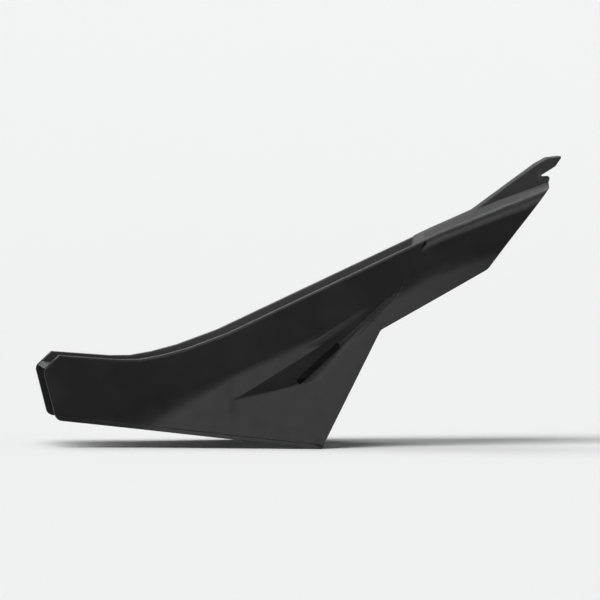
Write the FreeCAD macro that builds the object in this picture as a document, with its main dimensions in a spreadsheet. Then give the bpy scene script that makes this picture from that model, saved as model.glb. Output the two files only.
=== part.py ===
"""Mudguard extender for a motorcycle's rear wheel: one moulded shell, as a parametric FreeCAD document.

Axes: +X points to the rear of the motorcycle and +Z up. The shell is the same on both sides of the XZ plane.
The origin is the middle of the bolting land on the front deck, between its two bolt holes.
All lengths are in millimetres.
"""
import FreeCAD, Part
import Sketcher
import math
import os

NODE = "mudguard_extender"
SHEET = "sizes"

# Driving dimensions: alias, value, meaning
SIZES = [
    ("wall", 2.8, "wall of the moulding"),
    ("overcut", 60.0, "how far the cutting tools run past the part"),
    # Stations of the front skin along X: height of its rails, and place of its side crease
    ("front_x", -45.0, "front station, ahead of the trimmed edge"),
    ("front_top", 11.9, "rails at the front station"),
    ("front_crease_z", -55.0, "side crease at the front station"),
    ("deck_x", 30.0, "rear end of the front deck"),
    ("deck_top", 6.4, "rails at the rear end of the deck"),
    ("deck_crease_z", -31.5, "side crease at the rear end of the deck"),
    ("ramp_x", 75.0, "top of the short ramp behind the deck"),
    ("ramp_top", 18.2, "rails at the top of the ramp"),
    ("ramp_crease_z", -10.7, "side crease at the top of the ramp"),
    ("hood_x", 260.0, "last station of the front skin, behind the crease"),
    ("hood_top", 105.4, "rails at the last station of the front skin"),
    ("hood_crease_z", 74.7, "side crease at the last station of the front skin"),
    ("bend_length", 14.0, "half length of the soft bends at the ends of the ramp"),
    # Section of the front skin
    ("ridge_half_width", 55.0, "half width over the rails, front"),
    ("hood_ridge_half_width", 51.0, "half width over the rails, last station"),
    ("ridge_radius", 2.4, "rounding of the rails' outer edges"),
    ("rail_radius", 2.0, "rounding of the rails' inner edges"),
    ("inside_radius", 0.8, "rounding of the same edges inside the shell"),
    ("rail_width", 12.0, "width of the rails along both sides of the deck"),
    ("channel_depth", 7.0, "depth of the channel between the rails"),
    ("channel_draft", 3.0, "how far the rails' inner flanks lean"),
    ("channel_radius", 1.2, "rounding along the foot of the rails"),
    ("wall_lean", 0.06, "how far the upper wall leans out for each millimetre down to the side crease"),
    ("soft_crease_radius", 90.0, "rounding of the side crease along the deck"),
    ("crease_radius", 20.0, "rounding of the side crease behind the deck"),
    ("foot_half_width", 62.5, "half width of the flared skirt at the foot level, front"),
    ("hood_foot_half_width", 120.0, "half width of the flared skirt at the foot level, last station"),
    ("foot_level", -67.0, "level below the trimmed skirt"),
    # Tail skin, which stands proud of the front skin behind the crease
    ("tail_step", 0.1, "how far the tail stands proud of the front skin everywhere"),
    ("tail_x", 131.0, "first station of the tail skin, ahead of the crease"),
    ("tail_low_x", 150.0, "station up to which the tail follows the front skin"),
    ("tail_mid_x", 232.0, "station where the tail starts to round off"),
    ("tail_raise", 8.0, "how far the tail's side crease lies above the front skin's at that station"),
    ("tail_end_x", 325.0, "last station of the tail skin, behind its tips"),
    ("tail_end_top", 139.5, "spine at the last station of the tail skin"),
    ("tail_rise", 3.5, "rise of the tail's middle over its ridges, at the crease"),
    ("tail_spine_radius", 300.0, "rounding along the tail's middle, at the crease"),
    ("tail_ridge_radius", 11.0, "rounding of the tail's ridges at the crease"),
    ("tail_end_rise", 12.0, "rise of the tail's middle over its ridges, last station"),
    ("tail_end_spine_radius", 110.0, "rounding along the tail's middle, last station"),
    ("tail_end_ridge_half_width", 52.0, "half width between the tail's ridges, last station"),
    ("tail_end_ridge_radius", 13.0, "rounding of the tail's ridges, last station"),
    ("tail_end_wall", 42.0, "height from the tail's spine to its side crease, last station"),
    ("tail_end_crease_half_width", 54.5, "half width at the tail's side crease, last station"),
    ("tail_crease_radius", 45.0, "rounding of the tail's side crease"),
    ("tail_end_foot_half_width", 116.0, "half width of the tail's flare at the foot level"),
    # Raised tongue in the middle of the tail
    ("tongue_x", 250.0, "first station of the tongue, under the tail skin"),
    ("tongue_top", 100.5, "tongue at its first station"),
    ("tongue_bend_x", 301.0, "start of the tongue's bend"),
    ("tongue_bend_top", 137.7, "tongue at the start of its bend"),
    ("tongue_flat_x", 309.0, "end of the tongue's bend"),
    ("tongue_flat_top", 142.1, "tongue at the end of its bend"),
    ("tongue_end_x", 330.0, "last station of the tongue, behind its tip"),
    ("tongue_end_top", 144.4, "tongue at its last station"),
    ("tongue_half_width", 12.0, "half width of the tongue's flat top"),
    ("tongue_depth", 26.0, "height of the tongue's flanks"),
    ("tongue_spread", 26.0, "how far the flanks spread over that height"),
    ("tongue_radius", 5.0, "rounding of the tongue's edges"),
    # Crease line across the side, from the spine down to the skirt
    ("crease_top_x", 263.0, "crease line, above the spine"),
    ("crease_top_z", 168.0, "crease line, above the spine"),
    ("crease_bend_x", 202.0, "bend of the crease line"),
    ("crease_bend_z", 48.0, "bend of the crease line"),
    ("crease_low_x", 134.0, "lower bend of the crease line"),
    ("crease_low_z", -17.0, "lower bend of the crease line"),
    ("crease_foot_x", 146.5, "foot of the crease line"),
    ("step_wall", 3.2, "wall of the step at the crease line, along X"),
    # Side outline
    ("nose_top_x", -22.0, "top corner of the front edge"),
    ("nose_x", -34.5, "foremost point of the front edge"),
    ("nose_z", 0.0, "foremost point of the front edge"),
    ("nose_foot_x", -26.0, "lower corner of the front edge"),
    ("nose_foot_z", -33.0, "lower corner of the front edge"),
    ("skirt_foot_x", 149.0, "lowest corner of the skirt"),
    ("skirt_foot_z", -51.5, "lowest corner of the skirt"),
    ("skirt_arch_x", 191.0, "top of the skirt's rear edge"),
    ("skirt_arch_z", 27.0, "top of the skirt's rear edge"),
    ("wing_foot_x", 263.5, "lower corner of the tail's wings"),
    ("wing_foot_z", 67.5, "lower corner of the tail's wings"),
    ("wing_heel_x", 306.3, "lower end of the wing tips"),
    ("wing_heel_z", 121.9, "lower end of the wing tips"),
    ("wing_tip_x", 309.1, "upper end of the wing tips"),
    ("wing_tip_z", 130.1, "upper end of the wing tips"),
    ("notch_x", 301.2, "root of the notches beside the tongue"),
    ("notch_z", 128.8, "root of the notches beside the tongue"),
    ("tongue_heel_x", 313.2, "lower end of the tongue's tip"),
    ("tongue_heel_z", 136.2, "lower end of the tongue's tip"),
    ("tongue_tip_x", 317.5, "tip of the tongue"),
    ("tongue_tip_z", 141.6, "tip of the tongue"),
    ("small_corner", 1.5, "rounding of the sharp outline corners"),
    ("skirt_corner", 5.0, "rounding of the skirt's corners"),
    ("wing_corner", 14.0, "rounding of the wings' lower corners"),
    # Lip along the skirt's lower edge
    ("lip_width", 2.6, "how far the lip stands out"),
    ("lip_height", 2.8, "thickness of the lip"),
    # Side scoop: a ramp that runs in to a slot, and a bevel and a rounded shoulder that run out again
    ("scoop_x", 133.5, "deepest point of the scoop, along X"),
    ("scoop_z", -9.8, "deepest point of the scoop, height"),
    ("scoop_tilt", 14.0, "tilt of the scoop's lower edge, degrees"),
    ("scoop_depth", 6.0, "depth of the scoop at its lower edge"),
    ("scoop_ramp", 46.0, "length of the ramp at the lower edge"),
    ("scoop_bevel", 11.0, "length of the bevel at the lower edge"),
    ("scoop_shoulder", 11.0, "length of the shoulder at the lower edge"),
    ("scoop_round", 34.0, "rounding between bevel and shoulder at the lower edge"),
    ("scoop_end_x", 199.5, "upper end of the scoop, along X"),
    ("scoop_end_z", 50.5, "upper end of the scoop, height"),
    ("scoop_end_depth", 0.5, "depth of the scoop at its upper end"),
    ("scoop_end_ramp", 6.0, "length of the ramp at the upper end"),
    ("scoop_end_bevel", 2.6, "length of the bevel at the upper end"),
    ("scoop_end_shoulder", 3.5, "length of the shoulder at the upper end"),
    ("scoop_end_round", 8.0, "rounding between bevel and shoulder at the upper end"),
    ("scoop_clearance", 0.3, "how far the front of the ramp and the end of the shoulder clear the skin"),
    ("slot_start", 2.5, "from the deepest point to the slot"),
    ("slot_length", 38.0, "length of the slot"),
    ("slot_width", 4.4, "width of the slot"),
    ("slot_corner", 2.1, "rounding of the slot's ends"),
    # Bolting land, sunk into the front of the channel
    ("land_front", -17.0, "front edge of the land"),
    ("land_rear", 19.0, "rear edge of the land"),
    ("land_half_width", 38.0, "half width of the land"),
    ("land_corner", 8.0, "rounding of the land's corners"),
    ("bolt_spacing", 60.0, "distance between the bolt holes"),
    ("bolt_hole", 6.5, "diameter of the bolt holes"),
]


class Dim:
    """A number together with the sheet expression that it comes from."""

    def __init__(self, value, text):
        self.value = value
        self.text = text

    def __add__(self, other):
        other = as_dim(other)
        return Dim(self.value + other.value, f"({self.text} + {other.text})")

    def __sub__(self, other):
        other = as_dim(other)
        return Dim(self.value - other.value, f"({self.text} - {other.text})")

    def __mul__(self, other):
        other = as_dim(other)
        return Dim(self.value * other.value, f"({self.text} * {other.text})")

    def __truediv__(self, other):
        other = as_dim(other)
        return Dim(self.value / other.value, f"({self.text} / {other.text})")

    def __neg__(self):
        return Dim(-self.value, f"(-{self.text})")


def as_dim(number):
    """Gives a plain number the same form as a size."""
    if isinstance(number, Dim):
        return number
    return Dim(float(number), f"{number:.6f}")


def fill_sheet(document):
    """Writes the driving dimensions into a sheet and returns them by alias."""
    sheet = document.addObject("Spreadsheet::Sheet", SHEET)
    sizes = {}
    for row, (alias, value, meaning) in enumerate(SIZES, start=1):
        sheet.set(f"A{row}", meaning)
        sheet.set(f"B{row}", str(value))
        sheet.setAlias(f"B{row}", alias)
        sizes[alias] = Dim(value, f"{SHEET}.{alias}")
    return sizes


def bind(target, path, dim):
    """Ties a property to the sheet."""
    target.setExpression(path, dim.text)


def corner_arc(before, corner, after, radius):
    """Returns the arc that rounds a corner, its two tangent points and whether it runs counterclockwise."""
    back = (before - corner).normalize()
    ahead = (after - corner).normalize()
    half_angle = back.getAngle(ahead) / 2
    tangent = radius / math.tan(half_angle)
    start = corner + back * tangent
    end = corner + ahead * tangent
    centre = corner + (back + ahead).normalize() * (radius / math.sin(half_angle))
    start_angle = math.atan2(start.y - centre.y, start.x - centre.x)
    end_angle = math.atan2(end.y - centre.y, end.x - centre.x)
    forward = (end_angle - start_angle) % (2 * math.pi) < math.pi
    first, last = (start_angle, end_angle) if forward else (end_angle, start_angle)
    if last < first:
        last += 2 * math.pi
    circle = Part.Circle(centre, FreeCAD.Vector(0, 0, 1), radius)
    return Part.ArcOfCircle(circle, first, last), start, end, forward


def place_point(sketch, geometry, position, label, across, height):
    """Fixes one point of a sketch by its two coordinates, tied to the sheet."""
    axes = (("DistanceX", across, "across", -2), ("DistanceY", height, "height", -1))
    for kind, size, word, axis in axes:
        if size.value == 0:
            sketch.addConstraint(Sketcher.Constraint("PointOnObject", geometry, position, axis))
            continue
        index = sketch.addConstraint(Sketcher.Constraint(kind, geometry, position, size.value))
        sketch.renameConstraint(index, f"{word}_{label}")
        bind(sketch, f"Constraints.{word}_{label}", size)


def outline(document, name, corners):
    """Makes a closed, fully constrained sketch from corners (across, height, radius or None)."""
    sketch = document.addObject("Sketcher::SketchObject", name)
    corners = [(as_dim(a), as_dim(h), None if r is None else as_dim(r)) for a, h, r in corners]
    points = [FreeCAD.Vector(a.value, h.value, 0) for a, h, r in corners]
    count = len(corners)
    starts = list(points)
    ends = list(points)
    arcs = {}
    for i, (across, height, radius) in enumerate(corners):
        if radius is not None:
            arc, ends[i], starts[i], forward = corner_arc(points[i - 1], points[i], points[(i + 1) % count],
                                                          radius.value)
            arcs[i] = (arc, forward)
    for i in range(count):
        sketch.addGeometry(Part.LineSegment(starts[i], ends[(i + 1) % count]))
    for i, (across, height, radius) in enumerate(corners):
        line_in = (i - 1) % count
        if radius is None:
            sketch.addConstraint(Sketcher.Constraint("Coincident", line_in, 2, i, 1))
            place_point(sketch, i, 1, i, across, height)
            continue
        arc, forward = arcs[i]
        curve = sketch.addGeometry(arc)
        corner = sketch.addGeometry(Part.Point(points[i]), True)
        entry, leave = (1, 2) if forward else (2, 1)
        sketch.addConstraint(Sketcher.Constraint("Tangent", line_in, 2, curve, entry))
        sketch.addConstraint(Sketcher.Constraint("Tangent", i, 1, curve, leave))
        index = sketch.addConstraint(Sketcher.Constraint("Radius", curve, radius.value))
        sketch.renameConstraint(index, f"round_{i}")
        bind(sketch, f"Constraints.round_{i}", radius)
        place_point(sketch, corner, 1, i, across, height)
        sketch.addConstraint(Sketcher.Constraint("PointOnObject", corner, 1, line_in))
        sketch.addConstraint(Sketcher.Constraint("PointOnObject", corner, 1, i))
    return sketch


def mirrored(half):
    """Completes a list of corners, given from the foot up to the middle, on the other side."""
    middle = [corner for corner in half if as_dim(corner[0]).value == 0]
    side = [corner for corner in half if as_dim(corner[0]).value != 0]
    return side + middle + [(-as_dim(a), h, r) for a, h, r in reversed(side)]


def cross_section(document, name, station, corners):
    """Makes a section across the part: sketch axes along +Y and +Z, at a station along X."""
    sketch = outline(document, name, mirrored(corners))
    turn = FreeCAD.Rotation(FreeCAD.Vector(1, 1, 1), 120)
    sketch.Placement = FreeCAD.Placement(FreeCAD.Vector(station.value, 0, 0), turn)
    bind(sketch, "Placement.Base.x", station)
    return sketch


def side_prism(document, name, corners, width):
    """Makes a prism right across the part from an outline in side view."""
    sketch = outline(document, f"{name}_outline", corners)
    sketch.Placement = FreeCAD.Placement(FreeCAD.Vector(), FreeCAD.Rotation(FreeCAD.Vector(1, 0, 0), 90))
    prism = document.addObject("Part::Extrusion", name)
    prism.Base = sketch
    prism.DirMode = "Normal"
    prism.Solid = True
    prism.Symmetric = True
    bind(prism, "LengthFwd", width)
    return prism


def loft(document, name, sections):
    """Makes a solid with straight runs between its sections."""
    solid = document.addObject("Part::Loft", name)
    solid.Sections = sections
    solid.Solid = True
    solid.Ruled = True
    return solid


def cut(document, name, base, tool):
    """Takes one solid from another."""
    result = document.addObject("Part::Cut", name)
    result.Base = base
    result.Tool = tool
    return result


def fuse(document, name, solids):
    """Joins solids into one."""
    result = document.addObject("Part::MultiFuse", name)
    result.Shapes = solids
    return result


def common(document, name, first, second):
    """Keeps what two solids share."""
    result = document.addObject("Part::Common", name)
    result.Base = first
    result.Tool = second
    return result


def mirror(document, name, source):
    """Makes the same solid on the other side of the part."""
    result = document.addObject("Part::Mirroring", name)
    result.Source = source
    result.Normal = FreeCAD.Vector(0, 1, 0)
    return result


def between(start, end, share):
    """Gives the size that lies a share of the way from one size to another."""
    return start + (end - start) * share


def front_stations(size):
    """Main stations of the front skin: place, heights, half widths and rounding of the side crease."""
    stations = []
    for word in ("front", "deck", "ramp", "hood"):
        share = (size[f"{word}_x"] - size["front_x"]) / (size["hood_x"] - size["front_x"])
        ridge = size["hood_ridge_half_width"] if word == "hood" else size["ridge_half_width"]
        top, crease_z = size[f"{word}_top"], size[f"{word}_crease_z"]
        stations.append({
            "x": size[f"{word}_x"],
            "top": top,
            "ridge": ridge,
            "crease": ridge + (top - crease_z) * size["wall_lean"],
            "crease_z": crease_z,
            "foot": between(size["foot_half_width"], size["hood_foot_half_width"], share),
            "radius": size["soft_crease_radius"] if word in ("front", "deck") else size["crease_radius"],
        })
    return stations


def part_way(first, second, share):
    """Gives the station that lies a share of the way from one station to another."""
    return {word: between(first[word], second[word], share) for word in first}


def bend_ends(before, corner, after, length):
    """Stations at both ends of the soft bend that replaces the bend at a station."""
    entry = part_way(corner, before, length / (corner["x"] - before["x"]))
    leave = part_way(corner, after, length / (after["x"] - corner["x"]))
    return entry, leave


def edge_rounding(size, word, offset):
    """Rounding of an outer edge of a skin that is moved by an offset."""
    return size["inside_radius"] if offset.value < 0 else size[word] + offset


def side_corners(size, station, offset):
    """Half section of the front skin's sides, moved outwards by an offset: flared skirt and upper wall."""
    return [
        (station["foot"] + offset, size["foot_level"], None),
        (station["crease"] + offset, station["crease_z"], station["radius"] - offset),
        (station["ridge"] + offset, station["top"] + offset, edge_rounding(size, "ridge_radius", offset)),
    ]


def channel_corners(size, station, offset):
    """Half section of the channel between the rails, moved outwards by an offset."""
    rail = station["ridge"] - size["rail_width"] - offset
    crest = station["top"] + offset
    return [
        (rail, crest, edge_rounding(size, "rail_radius", offset)),
        (rail - size["channel_draft"], crest - size["channel_depth"], size["channel_radius"] - offset),
    ]


def front_skin(document, name, size, offset, channelled=True):
    """The front skin as a solid: deck, ramp and hood, with or without the channel between its rails."""
    front, deck, ramp, hood = front_stations(size)
    entry, leave = bend_ends(front, deck, ramp, size["bend_length"])
    middle = part_way(part_way(entry, leave, 1 / 2), deck, 1 / 2)
    stations = [front, entry, middle, leave, *bend_ends(deck, ramp, hood, size["bend_length"]), hood]
    sections = []
    for i, station in enumerate(stations):
        corners = side_corners(size, station, offset)
        if channelled:
            corners += channel_corners(size, station, offset)
        sections.append(cross_section(document, f"{name}_section_{i}", station["x"], corners))
    return loft(document, name, sections)


def hood_station(size, along):
    """Gives the front skin's station at a place along the hood."""
    ramp, hood = front_stations(size)[-2:]
    return part_way(ramp, hood, (along - ramp["x"]) / (hood["x"] - ramp["x"]))


def raised_station(size):
    """Gives the tail skin's station where it starts to round off, with its side crease moved up the wall."""
    station = hood_station(size, size["tail_mid_x"])
    crease_z = station["crease_z"] + size["tail_raise"]
    crease = station["ridge"] + (station["top"] - crease_z) * size["wall_lean"]
    return dict(station, crease=crease, crease_z=crease_z)


def tail_station(size, along):
    """Gives the tail skin's station at a place ahead of where it starts to round off."""
    low = hood_station(size, size["tail_low_x"])
    raised = raised_station(size)
    return part_way(low, raised, (along - low["x"]) / (raised["x"] - low["x"]))


def tail_skin(document, name, size, offset):
    """The tail skin as a solid: it leaves the front skin along the crease, then rounds off to the rear."""
    sections = []
    offset = size["tail_step"] + offset
    stations = [hood_station(size, size[word]) for word in ("tail_x", "tail_low_x")]
    for i, station in enumerate(stations + [raised_station(size)]):
        ridge_top = station["top"] + offset
        corners = [
            (station["foot"] + offset, size["foot_level"], None),
            (station["crease"] + offset, station["crease_z"], size["tail_crease_radius"] - offset),
            (station["ridge"] + offset, ridge_top, size["tail_ridge_radius"] + offset),
            (0, ridge_top + size["tail_rise"], size["tail_spine_radius"] + offset),
        ]
        sections.append(cross_section(document, f"{name}_section_{i}", station["x"], corners))
    top = size["tail_end_top"]
    corners = [
        (size["tail_end_foot_half_width"] + offset, size["foot_level"], None),
        (size["tail_end_crease_half_width"] + offset, top - size["tail_end_wall"],
         size["tail_crease_radius"] - offset),
        (size["tail_end_ridge_half_width"] + offset, top - size["tail_end_rise"] + offset,
         size["tail_end_ridge_radius"] + offset),
        (0, top + offset, size["tail_end_spine_radius"] + offset),
    ]
    sections.append(cross_section(document, f"{name}_section_end", size["tail_end_x"], corners))
    return loft(document, name, sections)


def tongue(document, name, size, offset):
    """The raised tongue of the tail as a solid, with flanks that run down into the tail skin."""
    stations = [("tongue_x", "tongue_top"), ("tongue_bend_x", "tongue_bend_top"),
                ("tongue_flat_x", "tongue_flat_top"), ("tongue_end_x", "tongue_end_top")]
    sections = []
    for x, top in stations:
        edge = size["tongue_half_width"] + offset
        corners = [
            (edge + size["tongue_spread"], size[top] - size["tongue_depth"], None),
            (edge, size[top] + offset, size["tongue_radius"] + offset),
        ]
        sections.append(cross_section(document, f"{name}_section_{x}", size[x], corners))
    return loft(document, name, sections)


def crease_sides(document, word, size, width, shift):
    """Two prisms that meet at the crease line, moved rearwards by a shift: ahead of it and behind it."""
    line = [
        (size["crease_top_x"] + shift, size["crease_top_z"], None),
        (size["crease_bend_x"] + shift, size["crease_bend_z"], size["skirt_corner"]),
        (size["crease_low_x"] + shift, size["crease_low_z"], size["skirt_corner"]),
        (size["crease_foot_x"] + shift, size["foot_level"] - size["overcut"], None),
    ]
    far_front = size["front_x"] - size["overcut"]
    far_rear = size["tongue_end_x"] + size["overcut"]
    low, high = line[-1][1], line[0][1]
    prisms = []
    for name, far in (("ahead_of_crease", far_front), ("behind_crease", far_rear)):
        corners = line + [(far, low, None), (far, high, None)]
        prisms.append(side_prism(document, f"{name}_{word}", corners, width))
    return prisms


def outline_tool(document, size, width):
    """Everything outside the side outline: below the skirt, behind the tail and ahead of the front edge."""
    small, medium = size["small_corner"], size["skirt_corner"]
    high = size["crease_top_z"] + size["overcut"]
    low = size["foot_level"] - size["overcut"]
    far_front = size["front_x"] - size["overcut"]
    far_rear = size["tongue_end_x"] + size["overcut"]
    corners = [
        (size["nose_top_x"], high, None),
        (size["nose_top_x"], size["front_top"], None),
        (size["nose_x"], size["nose_z"], medium),
        (size["nose_foot_x"], size["nose_foot_z"], medium),
        (size["skirt_foot_x"], size["skirt_foot_z"], small),
        (size["skirt_arch_x"], size["skirt_arch_z"], medium),
        (size["wing_foot_x"], size["wing_foot_z"], size["wing_corner"]),
        (size["wing_heel_x"], size["wing_heel_z"], small),
        (size["wing_tip_x"], size["wing_tip_z"], small),
        (size["notch_x"], size["notch_z"], None),
        (size["tongue_heel_x"], size["tongue_heel_z"], small),
        (size["tongue_tip_x"], size["tongue_tip_z"], None),
        (size["tongue_tip_x"], high, None),
        (far_rear, high, None),
        (far_rear, low, None),
        (far_front, low, None),
        (far_front, high, None),
    ]
    return side_prism(document, "outside_of_outline", corners, width)


def lip_band(document, size, width):
    """The band along the skirt's lower edge that the lip fills."""
    corners = [
        (size["nose_foot_x"], size["nose_foot_z"] - size["overcut"], None),
        (size["nose_foot_x"], size["nose_foot_z"] + size["lip_height"], None),
        (size["skirt_foot_x"], size["skirt_foot_z"] + size["lip_height"], None),
        (size["skirt_foot_x"], size["skirt_foot_z"] - size["overcut"], None),
    ]
    return side_prism(document, "lip_band", corners, width)


def half_width(size, station, height):
    """Half width of a skin at a height: its upper wall, or the flared skirt below its side crease."""
    if height.value > station["crease_z"].value:
        return station["ridge"] + (station["top"] - height) * size["wall_lean"]
    drop = (station["crease_z"] - height) / (station["crease_z"] - size["foot_level"])
    return between(station["crease"], station["foot"], drop)


def scoop_point(size, place, shift, station_at):
    """Half width of a skin at a point that is shifted from a place along the scoop's tilted edge."""
    tilt = size["scoop_tilt"]
    run = Dim(math.cos(math.radians(tilt.value)), f"cos({tilt.text})")
    rise = Dim(math.sin(math.radians(tilt.value)), f"sin({tilt.text})")
    along, height = place
    return half_width(size, station_at(size, along + shift * run), height + shift * rise)


def scoop_section(document, name, size, place, corners):
    """Makes a section of the scoop: sketch axes along the scoop's tilted edge and +Y."""
    sketch = outline(document, name, corners)
    along, height = place
    spot = f"vector({along.text}; 0; {height.text})"
    sketch.setExpression("Placement", f"placement({spot}; rotation(0; -{size['scoop_tilt'].text}; 0))")
    return sketch


def scoop_solids(document, size):
    """The scoop on one side: the hollow that is cut out, and the pan that closes it inside the wall."""
    low = (size["scoop_x"], size["scoop_z"])
    high = (size["scoop_end_x"], size["scoop_end_z"])
    margin = size["wall"]
    stretch = margin * 2 / (high[0] - low[0])
    hollow_sections = []
    pan_sections = []
    ends = (("scoop_", low, high, hood_station), ("scoop_end_", high, low, tail_station))
    for word, place, other, rear in ends:
        ramp, bevel, depth = size[f"{word}ramp"], size[f"{word}bevel"], size[f"{word}depth"]
        end = bevel + size[f"{word}shoulder"]
        front_face = scoop_point(size, place, -ramp, hood_station)
        face = scoop_point(size, place, as_dim(0), hood_station)
        rear_face = scoop_point(size, place, end, rear)
        clear = rear_face + size["scoop_depth"]
        hollow = [(-ramp, front_face + size["scoop_clearance"], None), (0, face - depth, None),
                  (bevel, scoop_point(size, place, bevel, rear), size[f"{word}round"]),
                  (end, rear_face + size["scoop_clearance"], None), (end, clear, None), (-ramp, clear, None)]
        hollow_sections.append(scoop_section(document, f"{word}hollow_section", size, place, hollow))
        pan = [(-ramp - margin, front_face - margin / 2, None), (0, face - depth - margin, None),
               (end + margin, rear_face - margin / 2, None)]
        pan_place = tuple(between(near, far, -stretch) for near, far in zip(place, other))
        pan_sections.append(scoop_section(document, f"{word}pan_section", size, pan_place, pan))
    return loft(document, "scoop_hollow", hollow_sections), loft(document, "scoop_pan", pan_sections)


def slot_tool(document, size, width):
    """A rounded slot along the deepest line of the scoops, through both sides."""
    half, rounding = size["slot_width"] / 2, size["slot_corner"]
    corners = [
        (size["slot_start"], -half, rounding),
        (size["slot_start"] + size["slot_length"], -half, rounding),
        (size["slot_start"] + size["slot_length"], half, rounding),
        (size["slot_start"], half, rounding),
    ]
    slot = side_prism(document, "slot", corners, width)
    run = size["scoop_end_x"] - size["scoop_x"]
    rise = size["scoop_end_z"] - size["scoop_z"]
    place = f"vector({size['scoop_x'].text}; 0; {size['scoop_z'].text})"
    turn = f"rotation(0; -atan2({rise.text}; {run.text}); 90)"
    slot.Base.setExpression("Placement", f"placement({place}; {turn})")
    return slot


def land_tools(document, size):
    """The bolting land: the block left under the channel, the tray sunk into it, and the bolt holes."""
    wall, high = size["wall"], size["overcut"]
    prisms = []
    for name, margin, level in (("land_block", wall, -wall), ("land_tray", as_dim(0), as_dim(0))):
        half = size["land_half_width"] + margin
        front, rear = size["land_front"] - margin, size["land_rear"] + margin
        rounding = size["land_corner"] + margin
        places = ((front, -half), (rear, -half), (rear, half), (front, half))
        corners = [(along, across, rounding) for along, across in places]
        sketch = outline(document, f"{name}_outline", corners)
        sketch.Placement = FreeCAD.Placement(FreeCAD.Vector(0, 0, level.value), FreeCAD.Rotation())
        bind(sketch, "Placement.Base.z", level)
        prism = document.addObject("Part::Extrusion", name)
        prism.Base = sketch
        prism.DirMode = "Normal"
        prism.Solid = True
        bind(prism, "LengthFwd", high)
        prisms.append(prism)
    holes = []
    for side, word in ((1, "right"), (-1, "left")):
        hole = document.addObject("Part::Cylinder", f"bolt_hole_{word}")
        bind(hole, "Radius", size["bolt_hole"] / 2)
        bind(hole, "Height", wall + high)
        bind(hole, "Placement.Base.y", size["bolt_spacing"] / 2 * side)
        bind(hole, "Placement.Base.z", -wall - high / 2)
        holes.append(hole)
    block, tray = prisms
    return block, tray, holes


def build(document):
    """Builds the shell and returns it."""
    size = fill_sheet(document)
    wall = size["wall"]
    width = (size["tail_end_foot_half_width"] + size["overcut"]) * 2
    flush = as_dim(0)

    block, tray, holes = land_tools(document, size)
    ahead, behind = crease_sides(document, "outside", size, width, flush)
    front = common(document, "front_outside", front_skin(document, "front_skin", size, flush), ahead)
    tail = common(document, "tail_outside", tail_skin(document, "tail_skin", size, flush), behind)
    lip_skin = front_skin(document, "lip_skin", size, size["lip_width"], channelled=False)
    lip = common(document, "lip", lip_skin, lip_band(document, size, width))
    outside = fuse(document, "outside", [front, tail, lip, tongue(document, "tongue", size, flush)])

    ahead, behind = crease_sides(document, "inside", size, width, size["step_wall"])
    front = common(document, "front_inside", front_skin(document, "front_hollow", size, -wall), ahead)
    tail = common(document, "tail_inside", tail_skin(document, "tail_hollow", size, -wall), behind)
    tongue_inside = tongue(document, "tongue_hollow", size, -wall)
    inside = cut(document, "inside", fuse(document, "hollow", [front, tail, tongue_inside]), block)
    shell = cut(document, "shell", outside, inside)

    scoop_hollow, scoop_pan = scoop_solids(document, size)
    pans = [scoop_pan, mirror(document, "scoop_pan_other", scoop_pan)]
    shell = fuse(document, "shell_with_pans", [shell] + pans)
    tools = [scoop_hollow, mirror(document, "scoop_hollow_other", scoop_hollow)]
    tools += [slot_tool(document, size, width), tray, outline_tool(document, size, width)]
    result = cut(document, NODE, shell, fuse(document, "cuts", tools + holes))
    result.Label = NODE
    result.Refine = True
    return result


def check(document, part):
    """Stops where an object failed or the part isn't one sound solid."""
    for item in document.Objects:
        faults = [state for state in item.State if state in ("Invalid", "Error")]
        if faults:
            raise RuntimeError(f"{item.Name} is {faults}")
        if item.isDerivedFrom("Sketcher::SketchObject"):
            if not item.FullyConstrained:
                raise RuntimeError(f"{item.Name} is not fully constrained")
        elif item.isDerivedFrom("Part::Feature") and not item.Shape.Solids:
            raise RuntimeError(f"{item.Name} is empty")
    shape = part.Shape
    if shape.isNull() or not shape.isValid() or len(shape.Solids) != 1:
        raise RuntimeError(f"{part.Label} has {len(shape.Solids)} solids, valid {shape.isValid()}")


def main():
    document = FreeCAD.newDocument(NODE)
    part = build(document)
    document.recompute()
    check(document, part)
    box = part.Shape.optimalBoundingBox()
    print(f"{part.Label}: {box.XLength:.1f} x {box.YLength:.1f} x {box.ZLength:.1f} mm, "
          f"{part.Shape.Volume / 1000:.1f} cm3, {len(part.Shape.Faces)} faces")
    os.makedirs("parts", exist_ok=True)
    part.Shape.exportStep(f"parts/{part.Label}.step")


main()
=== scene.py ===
"""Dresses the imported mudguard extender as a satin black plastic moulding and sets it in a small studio.

Lengths are in metres, in the row frame: +X to the rear of the motorcycle, +Z up.
"""
import math

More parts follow.
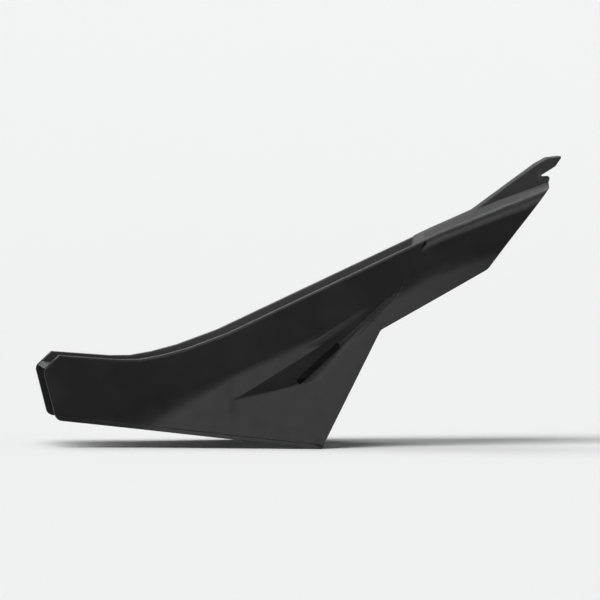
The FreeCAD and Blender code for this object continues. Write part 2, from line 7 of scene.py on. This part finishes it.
import bmesh
import bpy
from bpy.props import FloatProperty, FloatVectorProperty, PointerProperty
from bpy.types import Operator, Panel, PropertyGroup
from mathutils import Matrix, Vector


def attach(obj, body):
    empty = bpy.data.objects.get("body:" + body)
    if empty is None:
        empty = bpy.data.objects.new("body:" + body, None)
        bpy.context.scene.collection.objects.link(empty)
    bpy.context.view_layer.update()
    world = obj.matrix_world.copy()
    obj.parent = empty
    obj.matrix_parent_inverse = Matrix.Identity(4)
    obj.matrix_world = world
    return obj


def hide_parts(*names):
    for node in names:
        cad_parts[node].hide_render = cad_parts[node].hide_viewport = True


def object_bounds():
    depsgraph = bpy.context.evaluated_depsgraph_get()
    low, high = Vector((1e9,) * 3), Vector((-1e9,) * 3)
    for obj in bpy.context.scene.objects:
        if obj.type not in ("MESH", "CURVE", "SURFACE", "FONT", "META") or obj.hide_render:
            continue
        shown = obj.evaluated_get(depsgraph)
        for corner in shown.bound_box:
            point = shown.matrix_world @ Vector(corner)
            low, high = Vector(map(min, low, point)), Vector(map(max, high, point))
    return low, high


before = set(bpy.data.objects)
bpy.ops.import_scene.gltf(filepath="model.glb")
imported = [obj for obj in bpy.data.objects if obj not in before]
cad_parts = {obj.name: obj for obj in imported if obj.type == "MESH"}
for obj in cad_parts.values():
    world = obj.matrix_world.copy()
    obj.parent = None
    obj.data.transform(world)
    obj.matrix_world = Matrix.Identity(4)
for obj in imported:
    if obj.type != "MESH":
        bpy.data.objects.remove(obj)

bl_info = {
    "name": "Mudguard extender",
    "version": (1, 0, 0),
    "blender": (4, 5, 0),
    "location": "View3D > Sidebar > Mudguard",
    "description": "Dresses a mudguard extender and sets it in a studio",
    "category": "Object",
}

NODE = "mudguard_extender"
BODY = "root"
CAD_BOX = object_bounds()
SENSOR_WIDTH = 36.0

# Largest shares of a face's depth and of a side's length that a rounding may take
FACE_SHARE = 0.4
SIDE_SHARE = 0.8
ROUNDING_STEPS = 2

# Mould's grain: smooth cells with finer noise on top
CELL_SMOOTHNESS = 0.6
CELL_WEIGHT = 0.6
FINE_WEIGHT = 0.4
FINE_SHARE = 0.45
GRAIN_STRENGTH = 0.8

# Sizes of the dulled patches, smears and rubbed stretches (which also break up the painted edge
# highlight), and how crisp all noise is
PATCH_SIZE = 0.035
SMEAR_SIZE = 0.009
RUB_SIZE = 0.012
NOISE_ROUGHNESS = 0.55

# Ramps that turn noise or an edge's bend into a mark, each stop a place and a level
PATCH_STOPS = ((0.38, 0.0), (0.68, 1.0))
SMEAR_STOPS = ((0.45, 0.0), (0.75, 1.0))
# The bend ramp starts at slight bends, so the edge mark also paints a highlight along the crease and soft
# bends
BEND_STOPS = ((0.003, 0.0), (0.10, 1.0))
RUB_STOPS = ((0.40, 0.15), (0.70, 1.0))

# How far the marks change the colour and the roughness
PATCH_FADING = 0.7
# The edge mark's lightening is partly rubbed wear and partly a painted highlight
WEAR_AND_HIGHLIGHT_FADING = 0.55
PATCH_ROUGHNESS = 0.06
SMEAR_ROUGHNESS = 0.05
WEAR_POLISH = 0.08
GRAIN_ROUGHNESS = 0.08

# Sheen of the plastic and of the floor
PLASTIC_IOR = 1.5
PLASTIC_SHEEN = 0.14
FLOOR_ROUGHNESS = 0.9
FLOOR_SHEEN = 0.1

# Corners round the floor's mesh and rings in its rim
FLOOR_CORNERS = 96
FLOOR_RINGS = 24

# Directions in which the lights shine
TOP_DIRECTION = (0.35, 0.50, -1.0)
FRONT_DIRECTION = (0.75, 0.30, -0.54)
BACK_DIRECTION = (0.20, -0.65, -0.73)

# Sockets of a Mix node that blends colours
MIX_SHARE = 0
MIX_FIRST = 6
MIX_SECOND = 7
MIX_RESULT = 2


class ShellSettings(PropertyGroup):
    """Shape of the moulding's edges and the finish of its plastic."""

    merge_distance: FloatProperty(
        name="Merge distance", description="Corners closer than this become one", default=0.00005,
        unit="LENGTH", precision=5)
    edge_angle: FloatProperty(
        name="Edge angle", description="Faces that meet at more than this form an edge",
        default=math.radians(24), subtype="ANGLE")
    rounded_angle: FloatProperty(
        name="Rounded angle", description="Edges that bend more than this get a rounding",
        default=math.radians(60), subtype="ANGLE")
    edge_radius: FloatProperty(
        name="Edge radius", description="Rounding of the moulding's edges", default=0.0004, unit="LENGTH",
        precision=5)
    plastic_colour: FloatVectorProperty(
        name="Plastic", description="Colour of the plastic", default=(0.0090, 0.0090, 0.0096, 1.0),
        subtype="COLOR", size=4)
    faded_colour: FloatVectorProperty(
        name="Faded plastic", description="Colour where sun and washing have dulled the plastic",
        default=(0.0160, 0.0160, 0.0165, 1.0), subtype="COLOR", size=4)
    # Lighter colour of the edge mark: rubbed wear, and also a painted highlight along the crease and soft
    # bends
    worn_and_highlight_colour: FloatVectorProperty(
        name="Worn edges", description="Colour of rubbed edges", default=(0.050, 0.050, 0.051, 1.0),
        subtype="COLOR", size=4)
    roughness: FloatProperty(
        name="Roughness", description="Roughness of clean plastic", default=0.36, min=0.0, max=1.0,
        subtype="FACTOR")
    grain_size: FloatProperty(
        name="Grain size", description="Size of the mould's fine grain", default=0.0009, unit="LENGTH",
        precision=5)
    grain_depth: FloatProperty(
        name="Grain depth", description="Depth of the mould's fine grain", default=0.00005, unit="LENGTH",
        precision=6)
    # Reach of the edge mark, which paints a highlight as well as wear
    wear_and_highlight_width: FloatProperty(
        name="Wear width", description="How far wear reaches from an edge", default=0.0012, unit="LENGTH",
        precision=5)


class StageSettings(PropertyGroup):
    """Floor, light and camera."""

    floor_colour: FloatVectorProperty(
        name="Floor", description="Colour of the floor", default=(0.86, 0.86, 0.86, 1.0),
        subtype="COLOR", size=4)
    floor_radius: FloatProperty(
        name="Floor radius", description="Radius of the floor", default=40.0, unit="LENGTH")
    flat_radius: FloatProperty(
        name="Flat radius", description="Radius of the floor's flat part", default=10.0, unit="LENGTH")
    sweep_radius: FloatProperty(
        name="Sweep radius", description="Radius of the sweep that raises the floor's rim", default=60.0,
        unit="LENGTH")
    sky_colour: FloatVectorProperty(
        name="Room", description="Colour of the room's light", default=(0.95, 0.97, 1.0),
        subtype="COLOR", size=3)
    sky_strength: FloatProperty(
        name="Room strength", description="Strength of the room's light", default=0.14)
    top_strength: FloatProperty(
        name="Top light", description="Strength of the wide light overhead", default=2.1)
    top_spread: FloatProperty(
        name="Top spread", description="Angle that the light overhead fills",
        default=math.radians(44), subtype="ANGLE")
    front_strength: FloatProperty(
        name="Front light", description="Strength of the weaker light from the front", default=0.5)
    front_spread: FloatProperty(
        name="Front spread", description="Angle that the light from the front fills",
        default=math.radians(30), subtype="ANGLE")
    back_strength: FloatProperty(
        name="Back light", description="Strength of the weaker light from behind", default=0.9)
    back_spread: FloatProperty(
        name="Back spread", description="Angle that the light from behind fills",
        default=math.radians(40), subtype="ANGLE")
    azimuth: FloatProperty(
        name="Azimuth", description="Camera's angle round the part", default=math.radians(-4.5),
        subtype="ANGLE")
    elevation: FloatProperty(
        name="Elevation", description="Camera's angle above the horizon",
        default=math.radians(1.3), subtype="ANGLE")
    distance: FloatProperty(
        name="Distance", description="From the camera to the part", default=6.45, unit="LENGTH")
    frame_width: FloatProperty(
        name="Frame width", description="Width of the picture at the part", default=0.405, unit="LENGTH")


class Value:
    """A shader socket that takes part in Python expressions."""

    def __init__(self, finish, socket):
        self.finish = finish
        self.socket = socket

    def math(self, operation, first, second):
        """Makes a maths node from two values."""
        settings = {"operation": operation}
        return self.finish.node("ShaderNodeMath", settings, {0: first, 1: second})

    def __add__(self, other):
        return self.math("ADD", self, other)

    def __radd__(self, other):
        return self.math("ADD", other, self)

    def __sub__(self, other):
        return self.math("SUBTRACT", self, other)

    def __rsub__(self, other):
        return self.math("SUBTRACT", other, self)

    def __mul__(self, other):
        return self.math("MULTIPLY", self, other)

    def __rmul__(self, other):
        return self.math("MULTIPLY", other, self)


class Finish:
    """A node tree of a material or of the world."""

    def __init__(self, owner):
        owner.use_nodes = True
        self.tree = owner.node_tree
        self.tree.nodes.clear()

    def node(self, kind, settings=None, sockets=None, output=0):
        """Makes a node, sets it, fills its sockets and returns one of its outputs."""
        made = self.tree.nodes.new(kind)
        for name, value in (settings or {}).items():
            if name == "stops":
                self.set_stops(made.color_ramp.elements, value)
            else:
                setattr(made, name, value)
        for name, value in (sockets or {}).items():
            if isinstance(value, Value):
                self.tree.links.new(value.socket, made.inputs[name])
            else:
                made.inputs[name].default_value = value
        if not made.outputs:
            return None
        return Value(self, made.outputs[output])

    @staticmethod
    def set_stops(elements, stops):
        """Sets a ramp's stops, each a place and a grey level."""
        while len(elements) < len(stops):
            elements.new(1.0)
        for element, (place, level) in zip(elements, stops):
            element.position = place
            element.color = (level, level, level, 1.0)

    def ramp(self, value, *stops):
        """Turns a value into a level through a ramp."""
        return self.node("ShaderNodeValToRGB", {"stops": stops}, {"Fac": value})

    def noise(self, place, size, detail):
        """Soft noise whose blobs have a given size."""
        sockets = {"Vector": place, "Scale": 1.0 / size, "Detail": detail, "Roughness": NOISE_ROUGHNESS}
        return self.node("ShaderNodeTexNoise", {"noise_dimensions": "3D"}, sockets)

    def blend(self, first, second, share):
        """Mixes two colours."""
        sockets = {MIX_SHARE: share, MIX_FIRST: first, MIX_SECOND: second}
        return self.node("ShaderNodeMix", {"data_type": "RGBA"}, sockets, output=MIX_RESULT)


def plastic_finish(settings):
    """Satin black moulded plastic: fine grain, dulled patches, and edges lightened both by rubbed wear
    and by a painted highlight along the crease and soft bends.
    """
    material = bpy.data.materials.new("satin_black_plastic")
    finish = Finish(material)
    place = finish.node("ShaderNodeTexCoord", output="Object")

    grain_cells = finish.node("ShaderNodeTexVoronoi", {"feature": "SMOOTH_F1"},
                              {"Vector": place, "Scale": 1.0 / settings.grain_size,
                               "Smoothness": CELL_SMOOTHNESS})
    fine_grain = finish.noise(place, settings.grain_size * FINE_SHARE, detail=3.0)
    grain = grain_cells * CELL_WEIGHT + fine_grain * FINE_WEIGHT
    patches = finish.ramp(finish.noise(place, PATCH_SIZE, detail=3.0), *PATCH_STOPS)
    smears = finish.ramp(finish.noise(place, SMEAR_SIZE, detail=4.0), *SMEAR_STOPS)

    normal = finish.node("ShaderNodeNewGeometry", output="Normal")
    rounded = finish.node("ShaderNodeBevel", {"samples": 6}, {"Radius": settings.wear_and_highlight_width})
    facing = finish.node("ShaderNodeVectorMath", {"operation": "DOT_PRODUCT"}, {0: normal, 1: rounded},
                         output="Value")
    # Edge mark: rubbed wear plus a painted highlight where faces bend, even slightly, as along the crease
    bend = finish.ramp(1.0 - facing, *BEND_STOPS)
    rub = finish.ramp(finish.noise(place, RUB_SIZE, detail=3.0), *RUB_STOPS)
    wear_and_highlight = bend * rub

    colour = finish.blend(tuple(settings.plastic_colour), tuple(settings.faded_colour),
                          patches * PATCH_FADING)
    # Lighter edges: rubbed wear plus a painted highlight
    colour = finish.blend(colour, tuple(settings.worn_and_highlight_colour), wear_and_highlight * WEAR_AND_HIGHLIGHT_FADING)
    roughness = (settings.roughness + patches * PATCH_ROUGHNESS + smears * SMEAR_ROUGHNESS
                 - wear_and_highlight * WEAR_POLISH + (grain - 0.5) * GRAIN_ROUGHNESS)
    bump = finish.node("ShaderNodeBump", {}, {
        "Strength": GRAIN_STRENGTH, "Distance": settings.grain_depth, "Height": grain})
    surface = finish.node("ShaderNodeBsdfPrincipled", {}, {
        "Base Color": colour, "Roughness": roughness, "Normal": bump, "IOR": PLASTIC_IOR,
        "Specular IOR Level": PLASTIC_SHEEN})
    finish.node("ShaderNodeOutputMaterial", {}, {"Surface": surface})
    return material


def add_object(name, mesh):
    """Puts a mesh in the scene as an object at the origin."""
    piece = bpy.data.objects.new(name, mesh)
    bpy.context.scene.collection.objects.link(piece)
    return piece


def edge_room(edge, steep):
    """How wide an edge's rounding may be before it meets its neighbours."""
    start, end = (corner.co for corner in edge.verts)
    along = (end - start).normalized()
    room = []
    for face in edge.link_faces:
        arms = [corner.co - start for corner in face.verts]
        room.append(FACE_SHARE * max((arm - along * arm.dot(along)).length for arm in arms))
    for corner in edge.verts:
        room.extend(SIDE_SHARE * side.calc_length() for side in corner.link_edges if side not in steep)
    return min(room)


def sort_edges(shape, settings):
    """Marks the steep edges that have room for a rounding, and keeps other clear bends sharp."""
    layer = shape.edges.layers.float.new("bevel_weight_edge")
    bends = {edge: edge.calc_face_angle(0.0) for edge in shape.edges}
    steep = {edge for edge, bend in bends.items() if bend > settings.rounded_angle}
    for edge, bend in bends.items():
        rounded = edge in steep and edge_room(edge, steep) > settings.edge_radius
        edge[layer] = 1.0 if rounded else 0.0
        edge.smooth = rounded or bend < settings.edge_angle


def moulded_mesh(settings):
    """A merged copy of the shell's mesh, with its edges sorted for rounding and shading."""
    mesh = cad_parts[NODE].data.copy()
    mesh.name = "moulded_shell"
    shape = bmesh.new()
    shape.from_mesh(mesh)
    bmesh.ops.remove_doubles(shape, verts=shape.verts, dist=settings.merge_distance)
    bmesh.ops.dissolve_degenerate(shape, edges=shape.edges, dist=settings.merge_distance)
    sort_edges(shape, settings)
    shape.to_mesh(mesh)
    shape.free()
    mesh.polygons.foreach_set("use_smooth", [True] * len(mesh.polygons))
    return mesh


def soften_edges(piece, settings):
    """Rounds the moulding's edges and shades its faces smoothly."""
    rounding = piece.modifiers.new("edge_rounding", "BEVEL")
    rounding.limit_method = "WEIGHT"
    rounding.width = settings.edge_radius
    rounding.segments = ROUNDING_STEPS
    rounding.use_clamp_overlap = False
    shading = piece.modifiers.new("even_shading", "WEIGHTED_NORMAL")
    shading.keep_sharp = True
    bpy.context.view_layer.update()
    graph = bpy.context.evaluated_depsgraph_get()
    finished = bpy.data.meshes.new_from_object(piece.evaluated_get(graph))
    piece.modifiers.clear()
    piece.data = finished


class MUDGUARD_OT_shell(Operator):
    """Makes the moulded shell"""

    bl_idname = "mudguard.make_shell"
    bl_label = "Moulded shell"

    def execute(self, context):
        settings = context.scene.mudguard_shell
        shell = add_object("moulded_shell", moulded_mesh(settings))
        soften_edges(shell, settings)
        shell.data.materials.clear()
        shell.data.materials.append(plastic_finish(settings))
        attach(shell, BODY)
        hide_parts(NODE)
        return {"FINISHED"}


def floor_finish(settings):
    """A pale matt floor."""
    material = bpy.data.materials.new("pale_floor")
    finish = Finish(material)
    pale = finish.node("ShaderNodeBsdfPrincipled", {}, {
        "Base Color": tuple(settings.floor_colour), "Roughness": FLOOR_ROUGHNESS,
        "Specular IOR Level": FLOOR_SHEEN})
    finish.node("ShaderNodeOutputMaterial", {}, {"Surface": pale})
    return material


def floor_mesh(settings):
    """A flat disc whose rim sweeps gently up, so that a low camera sees no edge."""
    width = settings.floor_radius - settings.flat_radius
    shape = bmesh.new()
    bmesh.ops.create_circle(shape, cap_ends=True, segments=FLOOR_CORNERS, radius=settings.flat_radius)
    rim = shape.edges[:]
    for ring in range(1, FLOOR_RINGS + 1):
        out = width * ring / FLOOR_RINGS
        height = settings.sweep_radius - math.sqrt(settings.sweep_radius ** 2 - out ** 2)
        added = bmesh.ops.extrude_edge_only(shape, edges=rim)["geom"]
        rim = [item for item in added if isinstance(item, bmesh.types.BMEdge)]
        for corner in {corner for edge in rim for corner in edge.verts}:
            place = corner.co.xy.normalized() * (settings.flat_radius + out)
            corner.co = (place.x, place.y, height)
    bmesh.ops.recalc_face_normals(shape, faces=shape.faces)
    mesh = bpy.data.meshes.new("floor")
    shape.to_mesh(mesh)
    shape.free()
    mesh.polygons.foreach_set("use_smooth", [True] * len(mesh.polygons))
    return mesh


def add_floor(settings, centre, level):
    """A round floor under the part."""
    floor = add_object("floor", floor_mesh(settings))
    floor.location = (centre.x, centre.y, level)
    floor.data.materials.append(floor_finish(settings))


def add_soft_light(name, direction, strength, spread):
    """A soft light that shines in one direction from far away and fills an angle."""
    data = bpy.data.lights.new(name, "SUN")
    data.energy = strength
    data.angle = spread
    light = bpy.data.objects.new(name, data)
    bpy.context.scene.collection.objects.link(light)
    light.rotation_euler = Vector(direction).to_track_quat("-Z", "Y").to_euler()


def add_room(settings):
    """Even light from the room."""
    world = bpy.data.worlds.new("room")
    bpy.context.scene.world = world
    finish = Finish(world)
    colour = tuple(settings.sky_colour) + (1.0,)
    light = finish.node("ShaderNodeBackground", {}, {"Color": colour, "Strength": settings.sky_strength})
    finish.node("ShaderNodeOutputWorld", {}, {"Surface": light})


def add_camera(settings, centre):
    """A long lens from the photograph's side."""
    data = bpy.data.cameras.new("camera")
    data.sensor_width = SENSOR_WIDTH
    data.lens = SENSOR_WIDTH * settings.distance / settings.frame_width
    data.clip_end = settings.floor_radius * 2
    camera = bpy.data.objects.new("camera", data)
    bpy.context.scene.collection.objects.link(camera)
    level = math.cos(settings.elevation)
    offset = Vector((math.sin(settings.azimuth) * level, -math.cos(settings.azimuth) * level,
                     math.sin(settings.elevation)))
    camera.location = centre + offset * settings.distance
    camera.rotation_euler = (-offset).to_track_quat("-Z", "Y").to_euler()
    bpy.context.scene.camera = camera


class MUDGUARD_OT_stage(Operator):
    """Sets floor, light and camera"""

    bl_idname = "mudguard.set_stage"
    bl_label = "Studio"

    def execute(self, context):
        settings = context.scene.mudguard_stage
        low, high = (Vector(corner) for corner in CAD_BOX)
        centre = (low + high) / 2
        add_floor(settings, centre, low.z)
        add_soft_light("top_light", TOP_DIRECTION, settings.top_strength, settings.top_spread)
        add_soft_light("front_light", FRONT_DIRECTION, settings.front_strength, settings.front_spread)
        add_soft_light("back_light", BACK_DIRECTION, settings.back_strength, settings.back_spread)
        add_room(settings)
        add_camera(settings, centre)
        context.scene.view_settings.view_transform = "Standard"
        return {"FINISHED"}


class MUDGUARD_PT_panel(Panel):
    """Lists the steps and their settings"""

    bl_label = "Mudguard extender"
    bl_idname = "MUDGUARD_PT_panel"
    bl_space_type = "VIEW_3D"
    bl_region_type = "UI"
    bl_category = "Mudguard"

    def draw(self, context):
        groups = ((MUDGUARD_OT_shell, context.scene.mudguard_shell),
                  (MUDGUARD_OT_stage, context.scene.mudguard_stage))
        for step, settings in groups:
            box = self.layout.box()
            box.operator(step.bl_idname)
            for name in settings.__annotations__:
                box.prop(settings, name)


CLASSES = (ShellSettings, StageSettings, MUDGUARD_OT_shell, MUDGUARD_OT_stage, MUDGUARD_PT_panel)


def register():
    for item in CLASSES:
        bpy.utils.register_class(item)
    bpy.types.Scene.mudguard_shell = PointerProperty(type=ShellSettings)
    bpy.types.Scene.mudguard_stage = PointerProperty(type=StageSettings)


def unregister():
    del bpy.types.Scene.mudguard_stage
    del bpy.types.Scene.mudguard_shell
    for item in reversed(CLASSES):
        bpy.utils.unregister_class(item)


def main():
    register()
    bpy.ops.mudguard.make_shell()
    bpy.ops.mudguard.set_stage()


if __name__ == "__main__":
    main()
